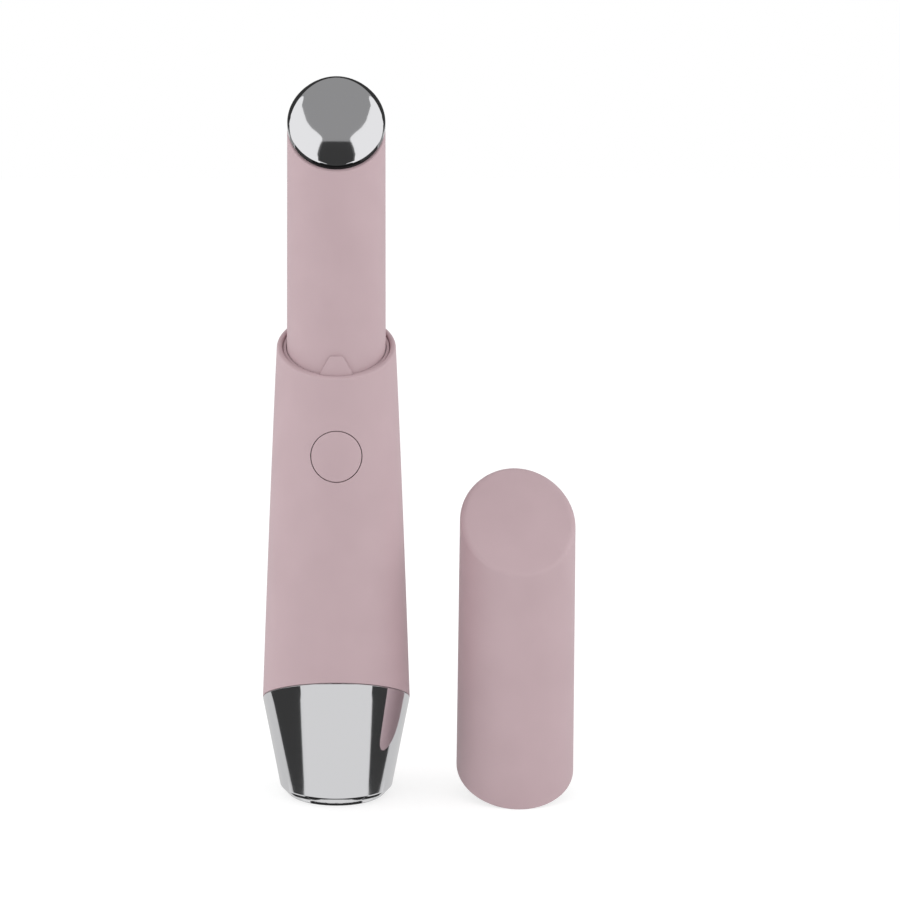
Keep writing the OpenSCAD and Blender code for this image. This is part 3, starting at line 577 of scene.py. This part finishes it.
# Cell: a steel can in a blue heat-shrink sleeve, whose PVC skin is glossy and creeps into faint
# waves as it shrinks.
sleeve_film, tree, place = new_material("heat-shrink PVC")
waves = add_node(tree, "ShaderNodeTexNoise", {"Scale": 1 / (3 * MM), "Detail": 1.0},
                 {"Vector": place})
tone = add_node(tree, "ShaderNodeMix", {6: linear("#3767a0"), 7: linear("#4474ad")},
                {0: waves.outputs["Fac"]}, data_type="RGBA")
relief = add_node(tree, "ShaderNodeBump", {"Strength": 0.3, "Distance": 0.05 * MM},
                  {"Height": waves.outputs["Fac"]})
shader = add_node(tree, "ShaderNodeBsdfPrincipled", {"Roughness": 0.2, "IOR": 1.53},
                  {"Base Color": tone.outputs[2], "Normal": relief.outputs["Normal"]})
add_node(tree, "ShaderNodeOutputMaterial", {}, {"Surface": shader.outputs["BSDF"]})
finish_nodes(sleeve_film, "battery")

# The socket's pins are gold-plated bronze: warm, bright and a little uneven from the plating bath.
gold, tree, place = new_material("gold-plated bronze")
bath = add_node(tree, "ShaderNodeTexNoise", {"Scale": 1 / (0.5 * MM)}, {"Vector": place})
sheen = add_node(tree, "ShaderNodeMapRange", {"To Min": 0.15, "To Max": 0.28},
                 {"Value": bath.outputs["Fac"]})
shader = add_node(tree, "ShaderNodeBsdfPrincipled",
                  {"Base Color": linear("#e0bb6c"), "Metallic": 1.0},
                  {"Roughness": sheen.outputs["Result"]})
add_node(tree, "ShaderNodeOutputMaterial", {}, {"Surface": shader.outputs["BSDF"]})
finish_nodes(gold, "port_pins")

# Leads: stranded wire in soft PVC, red to the motor and cell, off-white to film and bead. The skin
# has the satin look of extruded plastic.
for colour, deep, light, names in (
        ("red", "#9c2226", "#b32a2d", ("battery_lead", "motor_leads")),
        ("white", "#cfcbc2", "#dedad2", ("heater_leads", "thermistor_leads"))):
    skin, tree, place = new_material("extruded PVC, " + colour)
    drag = add_node(tree, "ShaderNodeTexNoise", {"Scale": 1 / (0.6 * MM)}, {"Vector": place})
    tone = add_node(tree, "ShaderNodeMix", {6: linear(deep), 7: linear(light)},
                    {0: drag.outputs["Fac"]}, data_type="RGBA")
    shader = add_node(tree, "ShaderNodeBsdfPrincipled", {"Roughness": 0.38, "IOR": 1.53},
                      {"Base Color": tone.outputs[2]})
    add_node(tree, "ShaderNodeOutputMaterial", {}, {"Surface": shader.outputs["BSDF"]})
    finish_nodes(skin, *names)

# Studio floor: a plain pale sheet of painted board. The camera sees it as white, darkened only
# where the wand and the cap shade it.
painted, tree, place = new_material("matt painted board")
paint = add_node(tree, "ShaderNodeBsdfDiffuse", {"Color": (0.8, 0.8, 0.8, 1)})
thin_paint = add_node(tree, "ShaderNodeBsdfDiffuse", {"Color": (0.4, 0.4, 0.4, 1)})
lift = add_node(tree, "ShaderNodeEmission", {"Strength": 0.72})
seen = add_node(tree, "ShaderNodeAddShader", {}, {0: thin_paint.outputs[0], 1: lift.outputs[0]})
path = add_node(tree, "ShaderNodeLightPath")
either = add_node(tree, "ShaderNodeMixShader", {},
                  {0: path.outputs["Is Camera Ray"], 1: paint.outputs[0], 2: seen.outputs[0]})
add_node(tree, "ShaderNodeOutputMaterial", {}, {"Surface": either.outputs[0]})
bm = bmesh.new()
bmesh.ops.create_grid(bm, x_segments=1, y_segments=1, size=4)
mesh = bpy.data.meshes.new("floor")
bm.to_mesh(mesh)
bm.free()
mesh.materials.append(painted)
floor = bpy.data.objects.new("floor", mesh)
bpy.context.scene.collection.objects.link(floor)
floor.visible_glossy = False

# Cards and flags: sheets of grey, black and pale felt that stand round the set, lie under it and
# hang above it. Only polished metal mirrors them: they draw the dark bands on the base, the lines
# of its foot, and the grey field, dark block and black rim of the tip.
strip_z, ceiling_z, ceiling_gap = -1, 4.125, 0.005
block_in, block_edge = 0.013, 0.001
flag_front = [(-1.27, -1.225), (-0.67, -1.205)]
flag_back = [(1.9, -0.88), (1.9, -0.7), (0.85, -0.2), (0.85, 0.4), (-1.27, 0.4)]
back_flag = [(1.9, 1.4), (5, 1.4), (5, 4.2), (1.9, 4.2)]
grey_card = [(0.9, -0.2), (2.4, -0.2), (2.4, 0.8), (0.9, 0.8)]
side_wall = [(0.2, -2.7), (2.5, -2.7), (2.5, -0.2), (0.2, -0.2)]
side_strip = [(0.355, 0.47), (0.362, 0.5), (0.385, 0.56), (0.412, 0.64), (0.438, 0.75),
              (0.455, 0.86), (0.4665, 1), (0.468, 1.3), (0.6, 1.3), (0.56, 0.47)]
front_strip = [(0, 0.1), (0.22, 0.24), (0.3, 0.375), (0.36, 0.465), (0.5, 0.45), (0.6, 0.2),
               (0.9, -0.05), (1.3, -0.3), (1.2, -0.95)]
back_strip = [(0, 0.25), (0.15, 0.29), (0.25, 0.37), (0.33, 0.47), (0.36, 0.56), (0.33, 0.7),
              (0.3, 1.2), (0.3, 5)]
grey_ceiling = [(0.106, -0.202), (0.105, -0.18), (0.112, -0.166), (0.127, -0.152),
                (0.142, -0.137), (0.17, -0.115), (0.192, -0.093), (0.208, -0.071),
                (0.22, -0.051), (0.232, -0.011), (0.243, 0.033), (0.25, 0.06), (0.272, 0.095),
                (0.3, 0.141), (0.381, 0.242), (0.815, 0.64), (1.2, 0.96), (0.8, 1.04), (0, 1.7)]
block = [(0.105, -0.198), (0.116, -0.212), (0.1315, -0.249), (0.1385, -0.276),
         (0.157, -0.338), (0.188, -0.437), (0.36, -1.2), (1.2, -4.8)]
back_ceiling = [(1.12, 0.96), (2.2, 1.2), (3.2, 1.6), (4.2, 2.08), (6.4, 3.6), (8, 6.2)]


def beside(x, outline):
    """A card that stands at one side, from its points of y and z."""
    return [(x, y, z) for y, z in outline]


def across(y, half):
    """A card that stands across the set, from its right half's points of x and z."""
    return [(x, y, z) for x, z in half] + [(-x, y, z) for x, z in half[::-1]]


def lying(z, half):
    """A card that lies or hangs flat, from its right half's points of x and y."""
    return [(x, y, z) for x, y in half] + [(-x, y, z) for x, y in half[::-1] if x]


cards = [
    ("left flag", 0.047, beside(-2, flag_front + [(0.52, -1.062), (1.27, -0.97)] + flag_back)),
    ("right flag", 0.047, beside(2, flag_front + [(0.5, -1.062), (1.18, -0.97)] + flag_back)),
    ("front flag", 0.01, across(-3, [(5.2, -0.4), (5.2, 0.8)])),
    ("left back flag", 0.05, beside(-4.6, back_flag)),
    ("right back flag", 0.05, beside(4.6, back_flag)),
    ("left grey card", 0.3, beside(-2, grey_card)),
    ("right grey card", 0.3, beside(2, grey_card)),
    ("low left strip", 0.024, [(-x, y, strip_z) for x, y in side_strip]),
    ("low right strip", 0.024, [(x, y, strip_z) for x, y in side_strip]),
    ("low front strip", 0.024, lying(strip_z, front_strip)),
    ("low back strip", 0.024, lying(strip_z, back_strip)),
    ("pale floor card", 0.78, lying(-2.7, [(9, -9), (9, 9)])),
    ("pale wall", 0.65, across(2.5, [(5, -2.7), (5, 0.25)])),
    ("left pale wall", 0.65, beside(-5, side_wall)),
    ("right pale wall", 0.65, beside(5, side_wall)),
    ("front panel", 0.06, across(-3.2, [(2.3, 0.7), (1.4, 3.9)])),
    ("dark wall", 0.05, across(3, [(5, 0.3), (5, 2.6)])),
    ("grey ceiling card", 0.34, lying(ceiling_z, grey_ceiling)),
    ("dark front ceiling card", 0.05,
     lying(ceiling_z + ceiling_gap, [(x - block_in, y) for x, y in block])),
    ("soft edge of it", 0.12,
     lying(ceiling_z + 2 * ceiling_gap, [(x + block_edge, y) for x, y in block])),
    ("dark back ceiling card", 0.04, lying(4.2, back_ceiling))]
for name, tone, outline in cards:
    felt, tree, place = new_material(name + " felt")
    look = add_node(tree, "ShaderNodeEmission", {"Color": (tone, tone, tone, 1)})
    add_node(tree, "ShaderNodeOutputMaterial", {}, {"Surface": look.outputs[0]})
    bm = bmesh.new()
    bm.faces.new([bm.verts.new(corner) for corner in outline])
    mesh = bpy.data.meshes.new(name)
    bm.to_mesh(mesh)
    bm.free()
    mesh.materials.append(felt)
    card = bpy.data.objects.new(name, mesh)
    bpy.context.scene.collection.objects.link(card)
    card.visible_camera = card.visible_diffuse = card.visible_transmission = False
    card.visible_shadow = card.visible_volume_scatter = False

# Light: two large softboxes stand at the left and the right and model the round forms softly.
# Metal mirrors the room and the cards, and not the lamps.
softbox_w, softbox_h, softbox_power = 2.0, 0.8, 6.5
for name, side, away in (("left softbox", -1, 0.87), ("right softbox", 1, 0.9)):
    lamp = bpy.data.lights.new(name, "AREA")
    lamp.shape = "RECTANGLE"
    lamp.size = softbox_w
    lamp.size_y = softbox_h
    lamp.energy = softbox_power
    stand = bpy.data.objects.new(name, lamp)
    stand.location = (side * away, -0.18, 0.22)
    stand.rotation_euler = (radians(84), 0, side * radians(78))
    stand.visible_glossy = False
    bpy.context.scene.collection.objects.link(stand)

# Room: white all round. The camera and the polished metal see it at its full strength, and what
# it lights gets about three quarters of that, which leaves the shades to the softboxes.
world = bpy.data.worlds.new("white room")
world.use_nodes = True
tree = world.node_tree
tree.nodes.clear()
path = add_node(tree, "ShaderNodeLightPath")
room = add_node(tree, "ShaderNodeBackground", {"Color": (1, 1, 1, 1), "Strength": 0.76})
white = add_node(tree, "ShaderNodeBackground", {"Color": (1, 1, 1, 1), "Strength": 1.0})
straight = add_node(tree, "ShaderNodeMath", {},
                    {0: path.outputs["Is Camera Ray"], 1: path.outputs["Is Transmission Ray"]},
                    operation="MAXIMUM")
clear = add_node(tree, "ShaderNodeMath", {},
                 {0: straight.outputs[0], 1: path.outputs["Is Glossy Ray"]}, operation="MAXIMUM")
shown = add_node(tree, "ShaderNodeMixShader", {},
                 {0: clear.outputs[0], 1: room.outputs[0], 2: white.outputs[0]})
add_node(tree, "ShaderNodeOutputWorld", {}, {"Surface": shown.outputs[0]})
bpy.context.scene.world = world
bpy.context.scene.view_settings.view_transform = "Standard"
